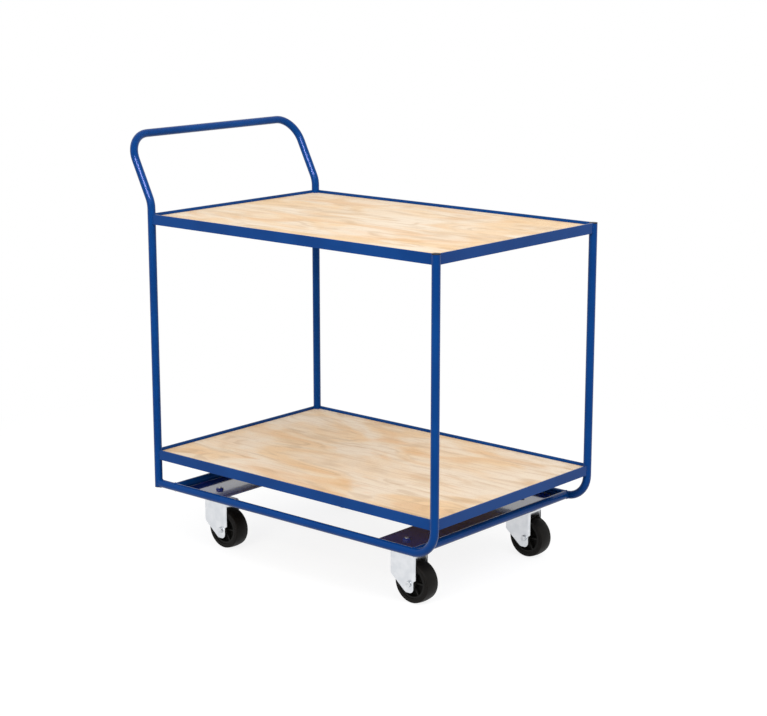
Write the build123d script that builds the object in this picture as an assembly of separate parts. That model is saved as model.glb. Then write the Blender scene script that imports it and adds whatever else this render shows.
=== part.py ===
from build123d import *
import os

# Two-shelf table trolley: a welded tube frame, two boards that lie in angle-steel frames and four swivel
# casters. Millimetres, +Z up from the floor. +X is forwards: the push handle is at the back, over -X, and
# the right-hand side is -Y. The origin is on the floor, under the middle of the overall length and width.

# Round tube of the frame
tube_diameter = 20.0
tube_wall = 1.5
weld_gap = 0.2  # left between two pieces that are welded together

# Frame, measured between tube axes
upright_length = 900.0  # rear upright to front upright
upright_width = 590.0  # right upright to left upright
side_bend_radius = 60.0  # front upright into the bottom side rail
cross_tube_inset = 60.0  # cross tube from the uprights beside it

# Push handle, bent from the same tube as the rear uprights
handle_rise = 187.0  # push bar above the top rim
handle_overhang = 81.0  # push bar behind the rear uprights
handle_straight = 27.0  # the uprights stay vertical this far above the top rim
lean_bend_radius = 60.0
grip_bend_radius = 65.0

# Plastic plugs in the open tube ends
plug_cap = 2.0
plug_stem = 15.0
plug_fit = 0.1

# Shelves: height of each rim, angle rails and boards
top_rim_height = 835.0
lower_rim_height = 238.0
rail_leg = 25.0
rail_thickness = 3.0
rail_root_radius = 1.5
rail_outset = 5.0  # outer face of a rail outside the upright axes
board_thickness = 15.0
board_gap = 2.0  # round the board's edge and its notched corners

# Sheets between the tubes, flush with their undersides, that carry the casters
sheet_thickness = 3.0
sheet_margin = 26.0  # past the casters' top plates, towards the middle of the trolley
sheet_corner_radius = 5.0

# Caster: wheel
wheel_diameter = 100.0
tyre_width = 40.0
tyre_thickness = 12.0
tread_drop = 2.0  # from the middle of the tread to its shoulders
tread_shoulder_radius = 3.0
tyre_seat_gap = 0.1
rim_thickness = 5.0
rim_inset = 2.0  # rim inside the tyre's side
hub_diameter = 26.0
hub_proud = 1.0  # hub past the tyre's sides
web_thickness = 8.0
rib_count = 6
rib_thickness = 4.0
rib_inset = 4.0  # ribs inside the rim's side

# Caster: fork and axle
caster_trail = 30.0
fork_sheet = 3.0
tyre_side_clearance = 4.0
crown_clearance = 20.0  # from the tyre up to the fork's crown
fork_rear = 26.0  # behind the kingpin
fork_knee_rise = 15.0  # where the rear edge starts to slant, above the axle
fork_knee_radius = 8.0
lug_drop = 22.0  # leg below the axle
lug_back = 11.0  # foot of the leg behind the axle
lug_radius = 10.0
lug_inset = 5.0  # foot of the leg behind its curled front edge
curl_radius = 10.0  # front edges of the legs, curled in
curl_foot = 5.0  # lower end of the curled edges, above the axle
curl_foot_radius = 3.0
crown_radius = 6.0
curl_clearance = 0.5  # from the hub's ends to the curled edges
window_lip = 5.0  # crown left above the front opening
axle_diameter = 8.0
axle_fit = 0.1
axle_flats = 13.0
axle_head = 5.3
axle_nut_height = 6.5
axle_end = 2.0  # bolt past its nut
sleeve_diameter = 12.0
running_fit = 0.06

# Caster: swivel
plate_diameter = 60.0
plate_thickness = 4.0
plate_edge_radius = 2.5
race_height = 5.5  # each half of the race
race_gap = 2.0  # between the two halves
race_clearance = 0.3
race_wall = 2.7
race_bevel = 3.0
bearing_diameter = 40.0  # circle that the balls' centres lie on
ball_diameter = 7.5
ball_count = 15
kingpin_diameter = 10.0
kingpin_fit = 0.1
kingpin_head_diameter = 20.0
kingpin_head = 6.4
kingpin_flats = 16.0
kingpin_nut_height = 5.0  # thin nut
kingpin_end = 1.0
nut_fit = 0.1

# Casters on the frame
caster_inset_long = 143.0  # kingpin from the upright axes
caster_inset_wide = 75.0

# Heights that follow, from the floor up
axle_height = wheel_diameter / 2
crown_under = wheel_diameter + crown_clearance
crown_top = crown_under + fork_sheet
plate_under = crown_top + race_height + race_gap + race_height
plate_top = plate_under + plate_thickness
sheet_top = plate_top + sheet_thickness
rail_axis_height = plate_top + tube_diameter / 2

# Radii and half sizes that follow
tube_radius = tube_diameter / 2
sheet_edge = (tube_radius**2 - (tube_radius - sheet_thickness) ** 2) ** 0.5 + weld_gap  # from a tube's axis
half_length = upright_length / 2
half_width = upright_width / 2
cross_tube_place = half_length - cross_tube_inset
fork_inner_width = tyre_width + 2 * tyre_side_clearance
fork_width = fork_inner_width + 2 * fork_sheet
fork_front = caster_trail + sleeve_diameter / 2 + curl_radius  # the legs are flat where the sleeve meets them
hub_length = tyre_width + 2 * hub_proud
kingpin_place = (half_length - caster_inset_long, half_width - caster_inset_wide)
overall_middle = -handle_overhang / 2  # middle of the length, from the middle between the uprights

ends = {"front": 1, "rear": -1}
sides = {"right": -1, "left": 1}
rims = {"top": top_rim_height, "lower": lower_rim_height}


def swept_rod(path, radius):
    """Solid round bar along a path."""
    return sweep(Plane(origin=path @ 0, z_dir=path % 0) * Circle(radius), path=path)


def tube_along(path):
    """Frame tube along a path, open at both ends."""
    return swept_rod(path, tube_radius) - swept_rod(path, tube_radius - tube_wall)


def handle_path():
    """Up one rear upright, back along the lean, across as the push bar and down the other side."""
    foot = rail_axis_height - tube_radius + plug_cap
    lean = top_rim_height + handle_straight
    bar = top_rim_height + handle_rise
    right = [
        (-half_length, -half_width, foot),
        (-half_length, -half_width, lean),
        (-half_length - handle_overhang, -half_width, bar),
    ]
    left = [(x, -y, z) for x, y, z in reversed(right)]
    bends = [lean_bend_radius, grip_bend_radius, grip_bend_radius, lean_bend_radius]
    return FilletPolyline(*right, *left, radius=bends)


def side_path(side):
    """Down a front upright, round the bend and back along the bottom side rail."""
    y = side * half_width
    top = (half_length, y, top_rim_height - plug_cap)
    corner = (half_length, y, rail_axis_height)
    back = (-half_length, y, rail_axis_height)
    return FilletPolyline(top, corner, back, radius=[side_bend_radius])


def side_tube(side):
    """Front upright and bottom rail in one, coped to the rear upright that it butts against."""
    upright = Pos(-half_length, side * half_width, rail_axis_height) * Cylinder(
        tube_radius + weld_gap, 2 * tube_diameter
    )
    return tube_along(side_path(side)) - upright


def cross_tube(end):
    """Tube between the two side rails, with both ends coped to them."""
    place = Pos(end * cross_tube_place, 0, rail_axis_height) * Rot(90, 0, 0)
    tube = place * (
        Cylinder(tube_radius, upright_width) - Cylinder(tube_radius - tube_wall, upright_width)
    )
    for side in sides.values():
        tube -= swept_rod(side_path(side), tube_radius + weld_gap)
    return tube


def tube_plug():
    """Flat cap with a stem that presses into a tube. The cap's outer face is at Z = 0, the stem below."""
    cap = Pos(0, 0, -plug_cap / 2) * Cylinder(tube_radius, plug_cap)
    stem_radius = tube_radius - tube_wall - plug_fit
    stem = Pos(0, 0, -plug_cap - plug_stem / 2) * Cylinder(stem_radius, plug_stem)
    return cap + stem


def all_tube_plugs():
    """Plugs on top of the front uprights and under the rear ones."""
    plugs = []
    for side in sides.values():
        y = side * half_width
        plugs.append(Pos(half_length, y, top_rim_height) * tube_plug())
        foot = rail_axis_height - tube_radius
        plugs.append(Pos(-half_length, y, foot) * Rot(180, 0, 0) * tube_plug())
    return plugs


def shelf_rail(span, flat_stop):
    """Angle rail between two uprights, along X, with its outer face at Y = 0 and its rim at Z = 0.

    The upright leg is coped to the tubes at the ends of its span. The flat leg, which carries the board,
    stops short of the tubes' axes by flat_stop.
    """
    upright_leg = Pos(0, rail_thickness / 2, -rail_leg / 2) * Box(span, rail_thickness, rail_leg)
    flat_middle = rail_thickness / 2 - rail_leg
    flat_leg = Pos(0, rail_leg / 2, flat_middle) * Box(span - 2 * flat_stop, rail_leg, rail_thickness)
    rail = upright_leg + flat_leg
    root = rail.edges().filter_by(Axis.X).filter_by_position(
        Axis.Y, rail_thickness - weld_gap, rail_thickness + weld_gap
    )
    rail = fillet(root.sort_by(Axis.Z)[0:1], rail_root_radius)
    for end in ends.values():
        tube = Cylinder(tube_radius + weld_gap, 3 * rail_leg)
        rail -= Pos(end * span / 2, rail_outset, 0) * tube
    return rail


def shelf_frame(rim):
    """The four rails round a board. The end rails are notched to fit inside the side rails."""
    outset = rail_outset
    beside_tube = tube_radius + weld_gap
    inside_side_rail = rail_leg - rail_outset + weld_gap
    side_rail = shelf_rail(upright_length, beside_tube)
    end_rail = shelf_rail(upright_width, inside_side_rail)
    return {
        "right": Pos(0, -half_width - outset, rim) * side_rail,
        "left": Pos(0, half_width + outset, rim) * Rot(0, 0, 180) * side_rail,
        "front": Pos(half_length + outset, 0, rim) * Rot(0, 0, 90) * end_rail,
        "rear": Pos(-half_length - outset, 0, rim) * Rot(0, 0, -90) * end_rail,
    }


def shelf_board(rim):
    """Board that rests on the flat legs of its rails, with its corners notched round the uprights."""
    margin = rail_outset - rail_thickness - board_gap
    middle = rim - rail_leg + rail_thickness + board_thickness / 2
    board = Box(upright_length + 2 * margin, upright_width + 2 * margin, board_thickness)
    for end in ends.values():
        for side in sides.values():
            notch = Cylinder(tube_radius + board_gap, 2 * board_thickness)
            board -= Pos(end * half_length, side * half_width, 0) * notch
    return Pos(0, 0, middle) * board


def caster_places():
    """Kingpin places on the floor plan, by the names of the corners."""
    x, y = kingpin_place
    return {
        f"{end}_{side}": Pos(ends[end] * x, sides[side] * y, 0) for end in ends for side in sides
    }


def caster_sheet(end):
    """Flat sheet welded between the side rails and to a cross tube, drilled for two casters."""
    outer_edge = cross_tube_place - sheet_edge
    inner_edge = kingpin_place[0] - plate_diameter / 2 - sheet_margin
    outline = Rectangle(outer_edge - inner_edge, upright_width - 2 * sheet_edge)
    outline = Pos(ends[end] * (outer_edge + inner_edge) / 2, 0) * fillet(
        outline.vertices(), sheet_corner_radius
    )
    for side in sides:
        outline -= caster_places()[f"{end}_{side}"] * Circle(kingpin_diameter / 2 + kingpin_fit)
    return Pos(0, 0, plate_top) * extrude(outline, sheet_thickness)


def hex_prism(flats, height):
    """Six-sided prism that stands on Z = 0."""
    return extrude(RegularPolygon(flats / 2, 6, major_radius=False), height)


def hex_bolt(diameter, length, flats, head):
    """Bolt whose head stands on Z = 0 with the shank below."""
    return hex_prism(flats, head) + Pos(0, 0, -length / 2) * Cylinder(diameter / 2, length)


def hex_nut(diameter, flats, height):
    """Nut that stands on Z = 0."""
    return hex_prism(flats, height) - Cylinder(diameter / 2 + nut_fit, 3 * height)


def race_half():
    """Half of the swivel race, standing on Z = 0, with a round groove for the balls in its upper face."""
    middle = bearing_diameter / 2
    groove_radius = ball_diameter / 2 + race_clearance
    inner = middle - groove_radius - race_wall
    outer = middle + groove_radius + race_wall
    section = make_face(
        Polyline(
            (inner, 0),
            (outer - race_bevel, 0),
            (outer, race_bevel),
            (outer, race_height),
            (inner, race_height),
            close=True,
        )
    )
    section -= Pos(middle, race_height + race_gap / 2) * Circle(groove_radius)
    return revolve(Plane.XZ * section, Axis.Z)


def caster_plate():
    """Round top plate that bears on the sheet, with the upper half of the race under it."""
    plate = Pos(0, 0, plate_under + plate_thickness / 2) * Cylinder(plate_diameter / 2, plate_thickness)
    plate = fillet(plate.edges().sort_by(Axis.Z)[0:1], plate_edge_radius)
    plate += Pos(0, 0, plate_under) * Rot(180, 0, 0) * race_half()
    return plate - Pos(0, 0, plate_under) * Cylinder(kingpin_diameter / 2 + kingpin_fit, 4 * plate_thickness)


def swivel_bearing():
    """Ring of balls between the two halves of the race."""
    height = crown_top + race_height + race_gap / 2
    ball = Pos(bearing_diameter / 2, 0, height) * Sphere(ball_diameter / 2)
    turns = [Rot(0, 0, 360 * turn / ball_count) for turn in range(ball_count)]
    return Compound([(turn * ball).solid() for turn in turns])


def kingpin():
    """Swivel bolt: a round head under the crown, and a shank up through the top plate and the sheet."""
    head_top = crown_under - race_clearance
    head = Pos(0, 0, head_top - kingpin_head / 2) * Cylinder(kingpin_head_diameter / 2, kingpin_head)
    top = sheet_top + kingpin_nut_height + kingpin_end
    length = top - head_top
    return head + Pos(0, 0, head_top + length / 2) * Cylinder(kingpin_diameter / 2, length)


def kingpin_nut():
    """Nut welded on top of the sheet, which the swivel bolt screws into from below."""
    return Pos(0, 0, sheet_top) * hex_nut(kingpin_diameter, kingpin_flats, kingpin_nut_height)


def fork_form(inset, rear):
    """Solid with the fork's outer form, drawn in by inset except at the rear, which stays square."""
    front = fork_front - inset
    half = fork_width / 2 - inset
    foot = axle_height - lug_drop
    corners = [(rear, -half), (front, -half), (front, half), (rear, half)]
    curl = curl_radius - inset
    outline = make_face(FilletPolyline(*corners, radius=[0, curl, curl, 0], close=True))
    form = Pos(0, 0, foot) * extrude(outline, crown_top - inset - foot)
    rim = form.faces().sort_by(Axis.Z)[-1].edges()
    bent = [edge for edge in rim if edge.center().X > rear + fork_sheet]
    return fillet(bent, crown_radius - inset)


def fork_leg_outline():
    """Side view of the fork: slanted from the knee to the lug, and stepped back at the axle in front."""
    foot = axle_height - lug_drop
    lug_front = fork_front - lug_inset
    curl_end = axle_height + curl_foot
    corners = [
        (-fork_rear, crown_top),
        (-fork_rear, axle_height + fork_knee_rise),
        (caster_trail - lug_back, foot),
        (lug_front, foot),
        (lug_front, curl_end),
        (fork_front, curl_end + lug_inset),
        (fork_front, crown_top),
    ]
    radii = [0, fork_knee_radius, lug_radius, lug_radius, curl_foot_radius, curl_foot_radius, 0]
    return Plane.XZ * make_face(FilletPolyline(*corners, radius=radii, close=True))


def fork():
    """Pressed fork: a crown and two legs of one sheet, with the legs' front edges curled in."""
    shell = fork_form(0, -fork_rear) - fork_form(fork_sheet, -2 * fork_rear)
    shell &= extrude(fork_leg_outline(), fork_width, both=True)
    window_top = crown_under - window_lip
    window = Box(2 * curl_radius, hub_length + 2 * curl_clearance, 2 * window_top)
    shell -= Pos(fork_front, 0, 0) * window
    shell += Pos(0, 0, crown_top) * race_half()
    shell -= Pos(0, 0, crown_top) * Cylinder(kingpin_diameter / 2 + running_fit, 4 * fork_sheet)
    axle_bore = Cylinder(axle_diameter / 2 + axle_fit, 2 * fork_width)
    return shell - Pos(caster_trail, 0, axle_height) * Rot(90, 0, 0) * axle_bore


def axle_bolt():
    """Axle bolt, with its head on the right-hand leg."""
    length = fork_width + axle_nut_height + axle_end
    bolt = hex_bolt(axle_diameter, length, axle_flats, axle_head)
    return Pos(caster_trail, -fork_width / 2, axle_height) * Rot(90, 0, 0) * bolt


def axle_nut():
    """Nut on the left-hand leg."""
    nut = hex_nut(axle_diameter, axle_flats, axle_nut_height)
    return Pos(caster_trail, fork_width / 2, axle_height) * Rot(-90, 0, 0) * nut


def axle_sleeve():
    """Steel tube clamped between the legs, which the wheel turns on."""
    bore = Cylinder(axle_diameter / 2 + axle_fit, fork_inner_width)
    sleeve = Cylinder(sleeve_diameter / 2, fork_inner_width) - bore
    return Pos(caster_trail, 0, axle_height) * Rot(90, 0, 0) * sleeve


def ring_section(inner, outer, width):
    """Half section of a ring about Y: radius along X."""
    return Pos((inner + outer) / 2, 0) * Rectangle(outer - inner, width)


def wheel_core():
    """Plastic rim, web and hub, stiffened by ribs."""
    bore = sleeve_diameter / 2 + running_fit
    hub = hub_diameter / 2
    rim_outer = wheel_diameter / 2 - tyre_thickness - tyre_seat_gap
    rim_inner = rim_outer - rim_thickness
    rim_width = tyre_width - 2 * rim_inset
    section = ring_section(bore, hub, hub_length)
    section += ring_section(hub, rim_inner, web_thickness)
    section += ring_section(rim_inner, rim_outer, rim_width)
    core = revolve(section, Axis.Y)
    reach = (hub + rim_inner) / 2
    rib = Pos(reach, 0, 0) * Box(rim_outer - hub, rim_width - 2 * rib_inset, rib_thickness)
    for turn in range(rib_count):
        core += Rot(0, 360 * turn / rib_count, 0) * rib
    return Pos(caster_trail, 0, axle_height) * core


def tyre():
    """Solid rubber tyre with flat sides, rounded shoulders and a slightly round tread."""
    tread = wheel_diameter / 2
    seat = tread - tyre_thickness
    shoulder = tread - tread_drop
    half = tyre_width / 2
    side = Polyline((shoulder, -half), (seat, -half), (seat, half), (shoulder, half))
    crown = ThreePointArc((shoulder, half), (tread, 0), (shoulder, -half))
    section = make_face([*side.edges(), crown])
    section = fillet(section.vertices().sort_by(Axis.X)[-2:], tread_shoulder_radius)
    return Pos(caster_trail, 0, axle_height) * revolve(section, Axis.Y)


def build():
    """Every node of the trolley, by name, about the middle between the uprights."""
    nodes = {"handle_tube": tube_along(handle_path()), "tube_plugs": all_tube_plugs()}
    for name, side in sides.items():
        nodes[f"{name}_side_tube"] = side_tube(side)
    for name, end in ends.items():
        nodes[f"{name}_cross_tube"] = cross_tube(end)
        nodes[f"{name}_caster_sheet"] = caster_sheet(name)
    for shelf, rim in rims.items():
        nodes[f"{shelf}_board"] = shelf_board(rim)
        for name, rail in shelf_frame(rim).items():
            nodes[f"{shelf}_{name}_rail"] = rail

    places = caster_places()
    nodes["kingpin_nuts"] = [place * kingpin_nut() for place in places.values()]
    caster_pieces = {
        "caster_plate": caster_plate(),
        "kingpin": kingpin(),
        "swivel_bearing": swivel_bearing(),
        "fork": fork(),
        "axle_bolt": axle_bolt(),
        "axle_nut": axle_nut(),
        "axle_sleeve": axle_sleeve(),
        "wheel_core": wheel_core(),
        "tyre": tyre(),
    }
    for corner, place in places.items():
        for name, piece in caster_pieces.items():
            nodes[f"{corner}_{name}"] = place * piece
    return nodes


def write(nodes):
    """One STEP file for each node, moved so that the origin is under the middle of the whole."""
    os.makedirs("parts", exist_ok=True)
    to_middle = Pos(-overall_middle, 0, 0)
    for name, shape in nodes.items():
        pieces = shape if isinstance(shape, list) else [shape]
        solids = [solid for piece in pieces for solid in piece.solids()]
        export_step(to_middle * Compound(solids), f"parts/{name}.step")
    print(len(nodes), "nodes, overall height", top_rim_height + handle_rise + tube_radius)


write(build())
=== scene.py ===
# %% [markdown]
# # A two-shelf table trolley
# The trolley is welded from blue tube and carries two beech boards on four swivel casters. Every
# main shape comes from the packed model. This file gives each surface its finish, adds the small
# things that a solid model leaves out, such as weld seams, threads and mould lines, and sets up a
# plain studio round it.

# %% Load the packed model
import math

import bmesh
import bpy
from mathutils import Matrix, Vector


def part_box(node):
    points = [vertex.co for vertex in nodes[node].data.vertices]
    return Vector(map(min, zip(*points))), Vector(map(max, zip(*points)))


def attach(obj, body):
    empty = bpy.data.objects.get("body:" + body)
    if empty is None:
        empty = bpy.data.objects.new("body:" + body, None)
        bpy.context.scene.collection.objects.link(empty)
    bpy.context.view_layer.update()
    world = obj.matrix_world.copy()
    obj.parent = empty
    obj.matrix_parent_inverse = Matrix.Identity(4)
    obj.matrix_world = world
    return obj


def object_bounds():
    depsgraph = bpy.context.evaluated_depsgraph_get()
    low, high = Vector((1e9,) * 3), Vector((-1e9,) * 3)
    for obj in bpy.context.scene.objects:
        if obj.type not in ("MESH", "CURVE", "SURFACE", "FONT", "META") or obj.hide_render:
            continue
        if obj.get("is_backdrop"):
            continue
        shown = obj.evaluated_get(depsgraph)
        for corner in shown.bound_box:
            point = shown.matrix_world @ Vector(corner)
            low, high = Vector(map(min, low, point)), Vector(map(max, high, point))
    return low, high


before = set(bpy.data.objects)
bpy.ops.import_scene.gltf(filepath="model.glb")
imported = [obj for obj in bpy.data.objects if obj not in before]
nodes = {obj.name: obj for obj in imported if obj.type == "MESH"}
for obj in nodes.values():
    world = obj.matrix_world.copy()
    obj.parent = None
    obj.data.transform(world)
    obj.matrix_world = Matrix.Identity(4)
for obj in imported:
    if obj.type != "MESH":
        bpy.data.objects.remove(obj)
cad_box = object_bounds()
print("nodes:", len(nodes), "size:", [round(side, 3) for side in cad_box[1] - cad_box[0]])

# %% [markdown]
# ## The camera
# The picture was taken from the front right corner, a little above the top board. Such a view could
# be set by hand in the viewport, but then it would be hard to repeat. Here it is written as an aim
# point, two angles, a distance and a focal length in pixels, which were worked out from the corners
# of the two shelves. The picture's uprights are parallel. A view camera with a strong rise would do
# that, but the other views would then lose the object, so the lens stays unshifted and the uprights
# lean by about one degree.

# %% Place the camera
picture_width = 767  # pixels
focal_pixels = 1868
film_width = 36  # mm
aim = Vector((0.0865, 0.0, 0.4957))
camera_distance = 4.552


def direction(azimuth, elevation):
    """A way out from the trolley in degrees: 0 is its right side, 90 its front, and then up."""
    around, above = math.radians(azimuth), math.radians(elevation)
    level = math.cos(above)
    return Vector((math.sin(around) * level, -math.cos(around) * level, math.sin(above)))


to_camera = direction(azimuth=40.82, elevation=12.7)
lens = bpy.data.cameras.new("corner_view")
lens.sensor_width = film_width
lens.lens = film_width * focal_pixels / picture_width
camera = bpy.data.objects.new("corner_view", lens)
camera.location = aim + camera_distance * to_camera
camera.rotation_euler = (-to_camera).to_track_quat("-Z", "Y").to_euler()
bpy.context.collection.objects.link(camera)
bpy.context.scene.camera = camera
print("lens:", round(lens.lens, 1), "mm, camera at", [round(x, 2) for x in camera.location])

# %% [markdown]
# ## Sums on sockets
# A node tree can be drawn by hand or built by many lines that add nodes and links. Both hide the
# sums. This class wraps one output socket, so that `0.3 + 0.1 * grain` or `1 - mask` adds the Math
# nodes itself. Its node() method adds any other node: the settings first, then the values or wires
# of its sockets.


# %% A wire in a node tree
class Wire:
    """One output of a node. Arithmetic on it adds Math nodes, and node() adds any other node."""

    def __init__(self, tree, socket=None):
        self.tree = tree
        self.socket = socket

    def feed(self, inlet, value):
        """A wire or a plain value into an input socket."""
        if isinstance(value, Wire):
            self.tree.links.new(value.socket, inlet)
        else:
            inlet.default_value = value

    def node(self, kind, settings=None, values=None, out=0):
        """A new node in the same tree, as a wire from one of its outputs."""
        made = self.tree.nodes.new("ShaderNode" + kind)
        for name, setting in (settings or {}).items():
            setattr(made, name, setting)
        for name, value in (values or {}).items():
            self.feed(made.inputs[name], value)
        return Wire(self.tree, made.outputs[out] if len(made.outputs) else None)

    def maths(self, operation, first, second=0.0):
        return self.node("Math", {"operation": operation}, {0: first, 1: second})

    def mix(self, first, second):
        """One colour where this wire is 0 and another where it is 1."""
        return self.node("Mix", {"data_type": "RGBA"}, {0: self, 6: first, 7: second}, out=2)

    def span(self, low, high):
        """0 below low, 1 above high, and a soft slope between them."""
        slope = {"interpolation_type": "SMOOTHSTEP"}
        return self.node("MapRange", slope, {0: self, 1: low, 2: high})

    def __add__(self, other):
        return self.maths("ADD", self, other)

    def __mul__(self, other):
        return self.maths("MULTIPLY", self, other)

    def __sub__(self, other):
        return self.maths("SUBTRACT", self, other)

    def __rsub__(self, other):
        return self.maths("SUBTRACT", other, self)

    __radd__ = __add__
    __rmul__ = __mul__


reflected = [name for name in vars(Wire) if name.startswith("__r")]
print("sums that also take a number first:", reflected)


# %% Colours
def srgb(red, green, blue):
    """A colour as a screen shows it, from 0 to 255, in the linear numbers that a shader wants."""

    def linear(level):
        share = level / 255
        return share / 12.92 if share <= 0.04045 else ((share + 0.055) / 1.055) ** 2.4

    return (linear(red), linear(green), linear(blue), 1.0)


def grey(level):
    """A grey by its share of the light, where 1 is white."""
    return (level, level, level, 1.0)


white = grey(1.0)
print("mid grey is", round(srgb(128, 128, 128)[0], 3), "in linear light")

# %% [markdown]
# ## The studio
# The trolley was photographed on white. A white world alone would light it evenly and flat. So the
# world is white only for rays that the camera sends, straight or by a mirror, and for other rays it
# is a soft grey that lights the object at a plain level. The Standard view shows a level of 1 as
# white and every colour as it is worked out. The floor is a plain surface with some glow of its
# own, so the shadow under the trolley shows but stays faint, and further out it turns into the same
# white as the world. To the rays that carry light it is a grey card, because a white one would
# light the undersides too strongly. From below it lets the view through.

# %% The white surroundings
dome_level = 0.7  # what the world gives as light
white_level = 1.0  # what the camera sees


def on_view(wire):
    """1 for rays from the camera, straight or by gloss or glass, and 0 for light rays."""
    path = wire.node("LightPath", out="Is Camera Ray")
    glossy = Wire(wire.tree, path.socket.node.outputs["Is Glossy Ray"])
    passed = Wire(wire.tree, path.socket.node.outputs["Is Transmission Ray"])
    both = path.maths("MAXIMUM", path, glossy)
    return both.maths("MAXIMUM", both, passed)


world = bpy.data.worlds.new("white_studio")
world.use_nodes = True
world.node_tree.nodes.clear()
sky = Wire(world.node_tree)
dome = sky.node("Background", values={"Color": white, "Strength": dome_level})
backdrop = sky.node("Background", values={"Color": white, "Strength": white_level})
shown = sky.node("MixShader", values={0: on_view(sky), 1: dome, 2: backdrop})
sky.node("OutputWorld", values={"Surface": shown})
bpy.context.scene.world = world
bpy.context.scene.view_settings.view_transform = "Standard"
print("dome at", dome_level, "behind a backdrop at", white_level)

# %% The floor
floor_half = 30.0
floor_signs = [(-1, -1), (1, -1), (1, 1), (-1, 1)]

floor_mesh = bpy.data.meshes.new("studio_floor")
floor_corners = [(floor_half * x, floor_half * y, 0) for x, y in floor_signs]
floor_mesh.from_pydata(floor_corners, [], [(0, 1, 2, 3)])
floor = bpy.data.objects.new("studio_floor", floor_mesh)
bpy.context.collection.objects.link(floor)
floor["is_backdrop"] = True
print("floor:", 2 * floor_half, "m square")

# %% The floor's finish
white_from, white_at = 0.7, 1.7  # metres from the middle: it starts to turn white, and is white
card_grey = grey(0.36)  # for the rays that carry light
shade_grey = grey(0.25)  # for the camera: the part that a shadow can take away
floor_glow = 0.84

floor_finish = bpy.data.materials.new("studio_floor")
floor_finish.use_nodes = True
floor_finish.node_tree.nodes.clear()
ground = Wire(floor_finish.node_tree)
card = ground.node("BsdfDiffuse", values={"Color": card_grey})
shaded = ground.node("BsdfDiffuse", values={"Color": shade_grey})
glow = ground.node("Emission", values={"Color": white, "Strength": floor_glow})
under_trolley = ground.node("AddShader", values={0: shaded, 1: glow})
plain_white = ground.node("Emission", values={"Color": white, "Strength": white_level})
spot = ground.node("NewGeometry", out="Position")
from_middle = spot.node("VectorMath", {"operation": "LENGTH"}, {0: spot}, out="Value")
fade = from_middle.span(white_from, white_at)
seen = ground.node("MixShader", values={0: fade, 1: under_trolley, 2: plain_white})
top_side = ground.node("MixShader", values={0: on_view(ground), 1: card, 2: seen})
under_side = ground.node("BsdfTransparent")
from_below = ground.node("NewGeometry", out="Backfacing")
both_sides = ground.node("MixShader", values={0: from_below, 1: top_side, 2: under_side})
ground.node("OutputMaterial", values={"Surface": both_sides})
floor_mesh.materials.append(floor_finish)
print("the floor is white from", white_at, "m out")

# %% [markdown]
# ## The lamps
# In the picture the front and the right side of the trolley are about equally light, and the lower
# board is hardly darker than the top one. A lamp overhead would leave the lower board dark, so both
# lamps are wide and stand low: the key towards the front, and the fill, which is the lower one,
# towards the right side. Each one's power follows from the level it should give on a white card
# that faces it.

# %% Key and fill
trolley_middle = Vector((0, 0, 0.5))


def studio_lamp(name, target, out, distance, width, height, watts):
    """A rectangular lamp that shines on a target from a direction."""
    data = bpy.data.lights.new(name, "AREA")
    data.shape = "RECTANGLE"
    data.size, data.size_y = width, height
    data.energy = watts
    lamp = bpy.data.objects.new(name, data)
    lamp.location = target + distance * out
    lamp.rotation_euler = (-out).to_track_quat("-Z", "Y").to_euler()
    bpy.context.collection.objects.link(lamp)
    print(name, "lamp:", round(watts), "W")
    return lamp


def soft_lamp(name, out, distance, side, level):
    """A square lamp on the middle of the trolley, from the level that it gives on a white card."""
    watts = level * (math.pi * distance) ** 2
    studio_lamp(name, trolley_middle, out, distance, side, side, watts)


soft_lamp("key", direction(azimuth=72, elevation=38), distance=4.5, side=2.2, level=0.37)
soft_lamp("fill", direction(azimuth=12, elevation=20), distance=5.0, side=2.4, level=0.42)

# %% [markdown]
# ## A line of light on the handle
# Where the handle's legs lean back, the picture has a narrow, pale line along them, and nowhere
# else on the frame. It is the mirror image of a lamp above the camera: only a tube with that lean
# sends it to the lens. More gloss on all the paint would show it too, but would also mirror the
# white room and turn the blue grey. So a wide lamp is added that works by gloss alone and is linked
# to the handle. It is warm, because the gloss of this paint is tinted blue, and the two together
# give the pale lilac of the picture.

# %% A lamp for the handle's gloss
gloss_distance = 4.0
gloss_width, gloss_height = 2.2, 0.8
gloss_level = 80  # how bright the lamp's face is, where the white backdrop is 1
gloss_colour = (1.0, 0.66, 0.42)
handle_top = Vector((-0.45, 0.0, 0.9))

gloss_watts = math.pi * gloss_level * gloss_width * gloss_height
above_camera = direction(azimuth=37, elevation=30)
gloss_lamp = studio_lamp(
    "gloss", handle_top, above_camera, gloss_distance, gloss_width, gloss_height, gloss_watts
)
gloss_lamp.data.color = gloss_colour
gloss_lamp.visible_diffuse = False
lit_by_gloss = bpy.data.collections.new("lit_by_gloss")
lit_by_gloss.objects.link(nodes["handle_tube"])
gloss_lamp.light_linking.receiver_collection = lit_by_gloss

# %% [markdown]
# ## A start for every finish
# Each finish is a Principled shader. What is the same all over a surface is set on the shader's own
# sockets, and only what varies is wired. Places on a surface are read in metres from the object
# itself, so the grain is the same size on every piece and moves with it. The edges of the solids
# are sharp, and real ones never are: a Bevel node rounds the shading there by half a millimetre,
# which costs no extra faces.

# %% Begin a finish
edge_radius = 0.0005
edge_samples = 4


def new_finish(name, constants):
    """A material, its Principled shader and a wire with the places on the object."""
    material = bpy.data.materials.new(name)
    material.use_nodes = True
    shader = material.node_tree.nodes["Principled BSDF"]
    for socket, value in constants.items():
        shader.inputs[socket].default_value = value
    place = Wire(material.node_tree).node("TexCoord", out="Object")
    return material, shader, place


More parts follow.
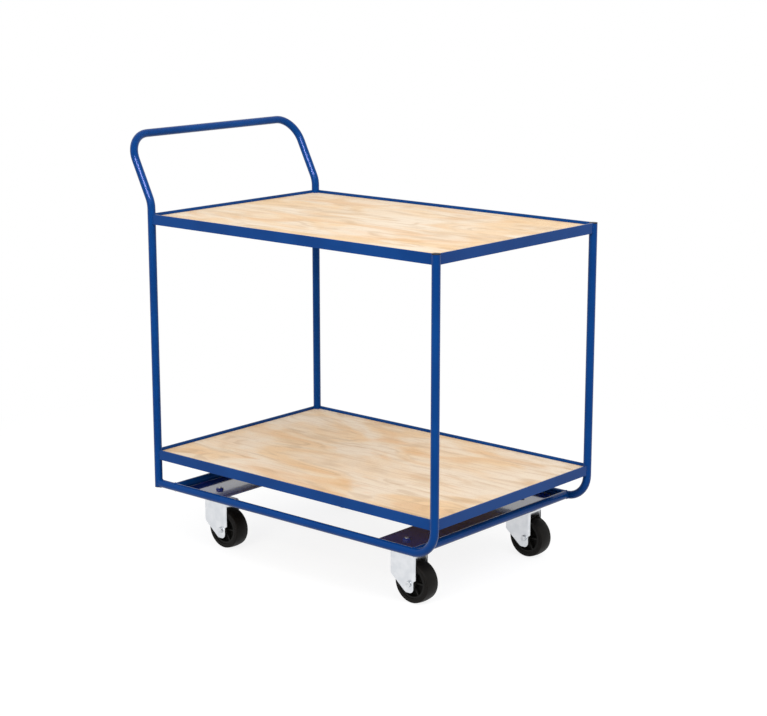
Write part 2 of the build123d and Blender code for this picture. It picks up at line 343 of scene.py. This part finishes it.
def noise(place, scale, detail=2.0, roughness=0.5, distortion=0.0):
    """Cloudy values about 0.5, with patches about 1 / scale metres across."""
    values = {"Vector": place, "Scale": scale, "Detail": detail, "Roughness": roughness}
    return place.node("TexNoise", values={**values, "Distortion": distortion})


def stain(under, mask, share, colour):
    """A colour laid over another by up to a share, where a mask is 1."""
    return (mask * share).mix(under, colour)


def bump(height, depth):
    """A normal from a height between 0 and 1 that stands for depth metres, with eased edges."""
    eased = height.node("Bevel", {"samples": edge_samples}, {"Radius": edge_radius})
    values = {"Height": height, "Strength": 1.0, "Distance": depth, "Normal": eased}
    return height.node("Bump", values=values)


finishes = {}
print("finishes to make:", sorted({node.data.materials[0].name for node in nodes.values()}))

# %% [markdown]
# ## Blue powder coat
# The frame is powder-coated steel: a thick skin with the faint orange-peel ripple that the powder
# leaves when it melts. A flat glossy colour would look like plastic. Here the blue drifts a little,
# the gloss varies in soft patches, and a shallow bump gives the ripple. The gloss is weak and
# tinted blue, so that the white room doesn't wash the colour out. On the flat sheets that carry the
# casters the paint is smoother, with a clear, glossy coat that mirrors the room at a low angle.
# Their darker, more violet blue is painted shade, the look of the blue in the shade under the lower
# board.

# %% Blue powder coat
drift_scale, patch_scale, peel_scale = 9.0, 60.0, 420.0  # patches to the metre
patch_depth = 0.1  # of roughness
peel_depth = 0.00001
coat_roughness = 0.04


def powder_coat(name, dark, light, specular, tint, smooth, coat=0.0):
    """Paint that drifts between two blues, under a clear coat where it has one."""
    constants = {"Specular IOR Level": specular, "Specular Tint": tint}
    constants.update({"Coat Weight": coat, "Coat Roughness": coat_roughness})
    material, shader, place = new_finish(name, constants)
    drift = noise(place, drift_scale, detail=3.0)
    place.feed(shader.inputs["Base Color"], drift.span(0.3, 0.7).mix(dark, light))
    place.feed(shader.inputs["Roughness"], smooth + patch_depth * noise(place, patch_scale))
    place.feed(shader.inputs["Normal"], bump(noise(place, peel_scale, detail=1.0), peel_depth))
    print(name, "with", len(material.node_tree.nodes), "nodes")
    return material


finishes["frame_blue"] = powder_coat(
    "blue_powder_coat",
    srgb(6, 58, 121),
    srgb(9, 65, 131),
    specular=0.24,
    tint=srgb(120, 150, 255),
    smooth=0.08,
)
# The sheets' blues are set darker and more violet than the frame's: painted shade for the shade
# under the lower board.
finishes["sheet_blue"] = powder_coat(
    "smooth_coat_painted_shade",
    srgb(22, 36, 112),
    srgb(26, 42, 124),
    specular=0.5,
    tint=white,
    smooth=0.06,
    coat=0.5,
)

# %% [markdown]
# ## Beech boards
# The boards are pale beech plywood. Its face veneer is peeled from the log in one long sheet, so
# the growth rings spread into broad, wavy streaks along the board, with warmer patches and short
# dark flecks. An even wood grain of straight lines would be wrong here. Noise that is drawn out
# along the board and swirled a little gives the streaks, larger ones the warm patches, and finer
# ones the hairs and flecks. The rings are the contour lines of one more noise: its sine comes and
# goes as the value climbs, like height lines on a map. Round the edges the plies show as thin
# layers of light and dark, and the faces that point down are a darker, browner tone.

# %% The face veneer
cream, honey, gold = srgb(251, 233, 209), srgb(248, 215, 173), srgb(236, 186, 128)
streak_brown, ring_brown = srgb(218, 184, 142), srgb(208, 174, 134)
hair_brown, fleck_brown = srgb(208, 170, 128), srgb(184, 143, 106)
ring_crowding = 52.0  # radians of the sine for each step of 1 in the noise


def grain(place, along, across, **swirl):
    """Noise drawn out along a board, with so many patches to the metre along and across it."""
    pull = (along, across, across)
    drawn_out = place.node("VectorMath", {"operation": "MULTIPLY"}, {0: place, 1: pull})
    return noise(drawn_out, 1.0, **swirl)


material, shader, place = new_finish("beech_ply", {"Specular IOR Level": 0.12})
warmth = grain(place, along=4.0, across=8.0, detail=3.0, distortion=0.8).span(0.4, 0.66)
pale = warmth.mix(cream, honey)
golden = grain(place, along=3.2, across=6.5, detail=3.0, distortion=1.0).span(0.5, 0.7)
toned = stain(pale, golden, 0.6, gold)
streaks = grain(place, along=5.0, across=22.0, detail=3.0, distortion=1.1)
figured = stain(toned, streaks.span(0.5, 0.74), 0.5, streak_brown)
growth = ring_crowding * grain(place, along=2.7, across=8.0, roughness=0.45, distortion=0.6)
contours = growth.maths("SINE", growth).span(0.0, 1.0)
broken = grain(place, along=8.0, across=18.0).span(0.4, 0.68)
ringed = stain(figured, contours * broken, 0.4, ring_brown)
hairs = grain(place, along=7.0, across=130.0, detail=3.0, distortion=0.4).span(0.48, 0.72)
veined = stain(ringed, hairs, 0.3, hair_brown)
flecks = grain(place, along=160.0, across=1300.0, detail=1.0).span(0.62, 0.72)
face = stain(veined, flecks, 0.35, fleck_brown)
print("the face veneer takes", len(material.node_tree.nodes), "nodes")

# %% The plies, the darker underside and the whole board
ply_thickness = 0.0015
ply_dark, ply_light = srgb(196, 156, 116), srgb(232, 204, 170)
underside_light, underside_dark = srgb(176, 134, 94), srgb(146, 106, 72)
flat_from, flat_at = 0.5, 0.8  # how far a normal points up or down: an edge, and a face
pore_depth = 0.00004

board_z = place.node("SeparateXYZ", values={0: place}, out="Z")
layers = board_z * (math.pi / ply_thickness)
plies = layers.maths("SINE", layers).span(-0.3, 0.3)
edge = plies.mix(ply_dark, ply_light)
facing = place.node("NewGeometry", out="Normal")
upward = place.node("SeparateXYZ", values={0: facing}, out="Z")
on_face = upward.maths("ABSOLUTE", upward).span(flat_from, flat_at)
# Faces that point down get a darker, browner tone.
underside_tone = stain(underside_light, streaks.span(0.35, 0.65), 0.6, underside_dark)
not_below = upward.span(-flat_at, -flat_from)
place.feed(shader.inputs["Base Color"], not_below.mix(underside_tone, on_face.mix(edge, face)))
place.feed(shader.inputs["Roughness"], 0.55 + 0.12 * flecks)
place.feed(shader.inputs["Normal"], bump(hairs + flecks, pore_depth))
finishes["board_wood"] = material
print(material.name, "with", len(material.node_tree.nodes), "nodes")

# %% [markdown]
# ## Zinc plate, fasteners and bearing steel
# The pressed parts of the casters are bright zinc: a pale, even metal with a soft shine. The bolts
# are the same metal with a finer, duller finish, and the bearings are bare steel with a film of
# grease. One function makes all three from two colours and a range of roughness.

# %% Zinc and steel
speck_scale = 1500.0  # specks to the metre
plating_depth = 0.000004


def plated_steel(name, light, dark, smooth, rough, cloud_scale):
    """Metal with clouds that are darker where they are smoother, and a fine tooth."""
    material, shader, place = new_finish(name, {"Metallic": 1.0})
    clouds = noise(place, cloud_scale)
    place.feed(shader.inputs["Base Color"], clouds.span(0.3, 0.7).mix(dark, light))
    place.feed(shader.inputs["Roughness"], smooth + (rough - smooth) * clouds)
    place.feed(shader.inputs["Normal"], bump(noise(place, speck_scale, detail=1.0), plating_depth))
    print(name, "with", len(material.node_tree.nodes), "nodes")
    return material


finishes["zinc_sheet"] = plated_steel(
    "bright_zinc",
    srgb(224, 226, 229),
    srgb(212, 215, 219),
    smooth=0.3,
    rough=0.42,
    cloud_scale=45.0,
)
finishes["zinc_fastener"] = plated_steel(
    "zinc_fastener",
    srgb(222, 224, 226),
    srgb(196, 199, 203),
    smooth=0.28,
    rough=0.5,
    cloud_scale=180.0,
)
finishes["bearing_steel"] = plated_steel(
    "greased_steel",
    srgb(180, 178, 174),
    srgb(120, 116, 110),
    smooth=0.2,
    rough=0.4,
    cloud_scale=120.0,
)

# %% [markdown]
# ## Black plastic and rubber
# The wheel centres and tube plugs are moulded in black plastic with an even, fine spark texture.
# The tyres are solid rubber: duller, a little brown, with some dust on the tread.

# %% Black plastic
wear_scale = 40.0
wear_depth = 0.15  # of roughness
spark_depth = 0.00003


def moulded_plastic(name, colour, worn, smooth):
    """Plastic with a spark texture, lighter and duller in worn patches."""
    material, shader, place = new_finish(name, {"Specular IOR Level": 0.16})
    patches = noise(place, wear_scale, detail=3.0)
    place.feed(shader.inputs["Base Color"], patches.span(0.35, 0.7).mix(colour, worn))
    place.feed(shader.inputs["Roughness"], smooth + wear_depth * patches)
    place.feed(shader.inputs["Normal"], bump(noise(place, speck_scale, detail=1.0), spark_depth))
    print(name, "with", len(material.node_tree.nodes), "nodes")
    return material


finishes["core_black"] = moulded_plastic(
    "wheel_centre_plastic", srgb(14, 13, 12), srgb(22, 21, 19), smooth=0.45
)
finishes["plug_black"] = moulded_plastic(
    "plug_plastic", srgb(24, 24, 30), srgb(32, 32, 40), smooth=0.42
)

# %% Solid rubber
dust_scale, rubber_scale = 90.0, 900.0
rubber_depth = 0.00005
rubber_black, dust_brown = srgb(15, 13, 11), srgb(36, 32, 28)

material, shader, place = new_finish("solid_rubber", {"Specular IOR Level": 0.12})
dust = noise(place, dust_scale, detail=4.0, roughness=0.6).span(0.45, 0.8)
place.feed(shader.inputs["Base Color"], stain(rubber_black, dust, 0.4, dust_brown))
place.feed(shader.inputs["Roughness"], 0.5 + 0.2 * dust)
place.feed(shader.inputs["Normal"], bump(noise(place, rubber_scale), rubber_depth))
finishes["tyre_rubber"] = material
print(material.name, "with", len(material.node_tree.nodes), "nodes")

# %% [markdown]
# ## Finishes onto the pieces
# Each node of the packed model comes in with a plain material that is named after its slot in the
# record. That name is enough to hand out the finishes.

# %% Hand out the finishes
for node in nodes.values():
    node.data.materials[0] = finishes[node.data.materials[0].name]
print("dressed", len(nodes), "nodes")

# %% [markdown]
# ## Ridges along a line
# Weld seams, thread crests and mould rings are all thin round ridges that follow a line. A curve
# with a round bevel could make them, but it couldn't swell and shrink like the scales of a weld.
# This helper puts rings of corners along a line of points and joins them, and a ripple changes the
# thickness along the way.

# %% A ridge along a line
tip_share, tip_step = 0.4, 0.2  # an open end starts at this share of the radius, and gains by this


def line_points(start, end, step):
    """Points on a straight line, about a step apart."""
    count = max(2, round((end - start).length / step))
    return [start.lerp(end, i / count) for i in range(count + 1)]


def add_ridge(mesh, points, radius, closed=False, ripple=0.0, pitch=1.0, sides=8):
    """A thin round ridge along points, with open ends that taper off.

    With a ripple it swells by that share of its radius, once to every pitch.
    """
    rings = []
    across = None
    run = 0.0
    last = len(points) - 1
    for i, point in enumerate(points):
        before = points[i - 1] if i or closed else point
        after = points[(i + 1) % len(points)] if i < last or closed else point
        along = (after - before).normalized()
        across = along.orthogonal() if across is None else across - along * across.dot(along)
        across.normalize()
        beside = along.cross(across)
        girth = radius * (1 + ripple * math.cos(2 * math.pi * run / pitch))
        girth *= 1.0 if closed else min(1.0, tip_share + tip_step * min(i, last - i))
        ring = []
        for side in range(sides):
            turn = 2 * math.pi * side / sides
            rim = across * math.cos(turn) + beside * math.sin(turn)
            ring.append(mesh.verts.new(point + girth * rim))
        rings.append(ring)
        run += (after - point).length
    next_rings = rings[1:] + rings[:1] if closed else rings[1:]
    for ring, following in zip(rings, next_rings):
        for side in range(sides):
            far = (side + 1) % sides
            mesh.faces.new((ring[side], ring[far], following[far], following[side]))
    if not closed:
        mesh.faces.new(list(reversed(rings[0])))
        mesh.faces.new(rings[-1])


print("an open ridge is full at point", math.ceil((1 - tip_share) / tip_step), "from its end")


# %% A piece from ridges
def ridge_piece(name, mesh, body, slot):
    """The ridges of a mesh as one smooth piece that rides on a body."""
    for face in mesh.faces:
        face.smooth = True
    data = bpy.data.meshes.new(name)
    mesh.to_mesh(data)
    mesh.free()
    piece = bpy.data.objects.new(name, data)
    bpy.context.collection.objects.link(piece)
    data.materials.append(finishes[slot])
    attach(piece, body)
    print(name, "with", len(data.polygons), "faces on", body)


# %% [markdown]
# ## Places in the frame
# The seams follow the places where tubes and rails meet. These could be typed in again, but they
# are already in the packed model, so the axes of the tubes are read from the boxes of the nodes.

# %% Axes of the tubes
cross_low, cross_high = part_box("front_cross_tube")
tube_radius = (cross_high.z - cross_low.z) / 2
floor_rail_z = (cross_high.z + cross_low.z) / 2
side_axis_y = {}
for side in ("right", "left"):
    low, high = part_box(f"{side}_side_tube")
    side_axis_y[side] = (low.y + high.y) / 2
cross_axis_x = {}
for end in ("front", "rear"):
    low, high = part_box(f"{end}_cross_tube")
    cross_axis_x[end] = (low.x + high.x) / 2
upright_x = {
    "front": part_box("right_side_tube")[1].x - tube_radius,
    "rear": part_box("handle_tube")[1].x - tube_radius,
}
print("tube radius", round(1000 * tube_radius, 2), "mm")
print("uprights at x", upright_x, "and y", side_axis_y)

# %% [markdown]
# ## Weld seams
# The frame is welded by hand: a seam on both faces of each rail where it meets an upright, round
# the coped end of every cross tube and side tube, short stitches along the caster sheets and a ring
# round each welded nut. Each seam is a row of overlapping scales, about one every two and a half
# millimetres, under the paint.

# %% Seams at the rails
rail_thickness = 0.003
seam_radius = 0.0016
seam_step = 0.0005
scale_pitch = 0.0025
scale_depth = 0.12  # of the seam's radius


def add_seam(mesh, points, closed=False, radius=seam_radius):
    """A ridge with the scales of a weld."""
    add_ridge(mesh, points, radius, closed=closed, ripple=scale_depth, pitch=scale_pitch)


def rail_seams(mesh, rail, uprights, lengthwise, outward, axis):
    """Seams at both ends of a rail, on its outer and inner face, from its lower edge to its rim.

    It runs along axis number lengthwise. Its outer face is at its lowest corner if outward is 0
    and at its highest if it is 1, and the uprights' middles lie across it at axis.
    """
    low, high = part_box(rail)
    outer = (low, high)[outward][1 - lengthwise]
    inward = 1 if axis > outer else -1
    middle = (low + high) / 2
    for upright in uprights:
        toward = 1 if middle[lengthwise] > upright else -1
        for face_at in (outer, outer + inward * rail_thickness):
            along = math.sqrt(tube_radius**2 - (face_at - axis) ** 2)
            foot = Vector((0, 0, low.z))
            foot[lengthwise] = upright + toward * along
            foot[1 - lengthwise] = face_at
            add_seam(mesh, line_points(foot, Vector((foot.x, foot.y, high.z)), seam_step))


seams = bmesh.new()
for shelf in ("top", "lower"):
    for side, y in side_axis_y.items():
        outward = 0 if side == "right" else 1
        rail_seams(seams, f"{shelf}_{side}_rail", upright_x.values(), 0, outward, y)
    for end, x in upright_x.items():
        outward = 0 if end == "rear" else 1
        rail_seams(seams, f"{shelf}_{end}_rail", side_axis_y.values(), 1, outward, x)
print("rail seams:", len(seams.faces), "faces so far")

# %% Seams round the coped tubes
circle_steps = 140
circle_turns = [2 * math.pi * i / circle_steps for i in range(circle_steps)]
tube_rim = [(tube_radius * math.cos(turn), tube_radius * math.sin(turn)) for turn in circle_turns]

for y in side_axis_y.values():
    inward = 1 if y < 0 else -1
    for x in cross_axis_x.values():
        cope = []
        for over, up in tube_rim:
            cope.append(Vector((x + over, y + inward * abs(over), floor_rail_z + up)))
        add_seam(seams, cope, closed=True)
    cope = []
    for over, up in tube_rim:
        cope.append(Vector((upright_x["rear"] + abs(up), y + over, floor_rail_z + up)))
    add_seam(seams, cope, closed=True)
ridge_piece("frame_welds", seams, "frame", "frame_blue")

# %% Stitches along the sheets
stitch_length = 0.03
cross_stitches = (-0.2, 0.0, 0.2)  # along the cross tube, from its middle
rail_stitches = (0.3, 0.75)  # along the sheet's side, as shares of its length
along_x, along_y, along_z = Vector((1, 0, 0)), Vector((0, 1, 0)), Vector((0, 0, 1))

seams = bmesh.new()
for end in ("front", "rear"):
    low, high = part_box(f"{end}_caster_sheet")
    tube_edge = high.x if end == "front" else low.x
    for y in cross_stitches:
        start = Vector((tube_edge, y - stitch_length / 2, high.z))
        add_seam(seams, line_points(start, start + stitch_length * along_y, seam_step))
    for y in (low.y, high.y):
        for share in rail_stitches:
            start = Vector((low.x + share * (high.x - low.x) - stitch_length / 2, y, high.z))
            add_seam(seams, line_points(start, start + stitch_length * along_x, seam_step))
print("stitches:", len(seams.faces), "faces so far")

# %% Rings round the nuts
nut_weld_reach = 0.0088
nut_weld_radius = 0.0012
corners = [f"{end}_{side}" for end in ("front", "rear") for side in ("right", "left")]
kingpins = {corner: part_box(f"{corner}_kingpin") for corner in corners}
sheet_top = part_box("front_caster_sheet")[1].z


def circle_about(middle, first, second, reach):
    """Points round a circle, from its middle and two directions across it."""
    points = []
    for turn in circle_turns:
        points.append(middle + reach * (first * math.cos(turn) + second * math.sin(turn)))
    return points


for low, high in kingpins.values():
    middle = (low + high) / 2
    foot = Vector((middle.x, middle.y, sheet_top))
    circle = circle_about(foot, along_x, along_y, nut_weld_reach)
    add_seam(seams, circle, closed=True, radius=nut_weld_radius)
ridge_piece("sheet_welds", seams, "frame", "sheet_blue")

# %% [markdown]
# ## Threads
# The swivel bolts end just above their nuts and the axle bolts just past theirs, so half a turn of
# thread shows on the first and a turn and a half on the second. A screw modifier could turn a
# profile, but a helix of the same ridge is enough at this size.

# %% Thread crests
swivel_radius, swivel_pitch, swivel_end = 0.005, 0.0015, 0.001  # M10, and its end past the nut
axle_radius, axle_pitch, axle_end = 0.004, 0.00125, 0.002  # M8
crest = 0.00025
turn_steps, least_steps = 32, 8
slim_sides = 6


def add_thread(mesh, foot, along, radius, pitch, length):
    """A helix round an axis, from a foot point."""
    across = along.orthogonal().normalized()
    beside = along.cross(across)
    steps = max(least_steps, round(turn_steps * length / pitch))
    points = []
    for i in range(steps + 1):
        turn = 2 * math.pi * length / pitch * i / steps
        rim = radius * (across * math.cos(turn) + beside * math.sin(turn))
        points.append(foot + along * (length * i / steps) + rim)
    add_ridge(mesh, points, crest, sides=slim_sides)


threads = bmesh.new()
for low, high in kingpins.values():
    middle = (low + high) / 2
    foot = Vector((middle.x, middle.y, high.z - swivel_end))
    add_thread(threads, foot, along_z, swivel_radius, swivel_pitch, swivel_end - crest)
ridge_piece("swivel_bolt_threads", threads, "frame", "zinc_fastener")

for corner in corners:
    low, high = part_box(f"{corner}_axle_bolt")
    middle = (low + high) / 2
    foot = Vector((middle.x, high.y - axle_end, middle.z))
    threads = bmesh.new()
    add_thread(threads, foot, along_y, axle_radius, axle_pitch, axle_end - crest)
    ridge_piece(f"{corner}_axle_thread", threads, f"{corner}_caster", "zinc_fastener")

# %% [markdown]
# ## Mould rings on the tyres
# A solid tyre comes out of its mould with thin raised rings on its sides, one near the tread and
# one near the rim. Grooves in a bump map would need a centre for each wheel. A ridge on a circle is
# simpler and turns with the wheel.

# %% Mould rings
ring_shares = (0.83, 0.92)  # of the wheel's radius
ring_height = 0.0005

for corner in corners:
    low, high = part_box(f"{corner}_tyre")
    middle = (low + high) / 2
    mould_rings = bmesh.new()
    for y in (low.y, high.y):
        for share in ring_shares:
            reach = share * (high.z - low.z) / 2
            circle = circle_about(Vector((middle.x, y, middle.z)), along_x, along_z, reach)
            add_ridge(mould_rings, circle, ring_height, closed=True, sides=slim_sides)
    ridge_piece(f"{corner}_mould_rings", mould_rings, f"{corner}_wheel", "tyre_rubber")

# %% [markdown]
# ## Sizes and the end
# The dressed trolley should be no larger than its solids, apart from the weld seams, which stand
# proud by less than two millimetres. The last line prints how far the box's highest corner grew.

# %% Compare the boxes
picture_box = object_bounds()
grown = [round(1000 * past, 2) for past in picture_box[1] - cad_box[1]]
print("the box's highest corner grew by", grown, "mm")
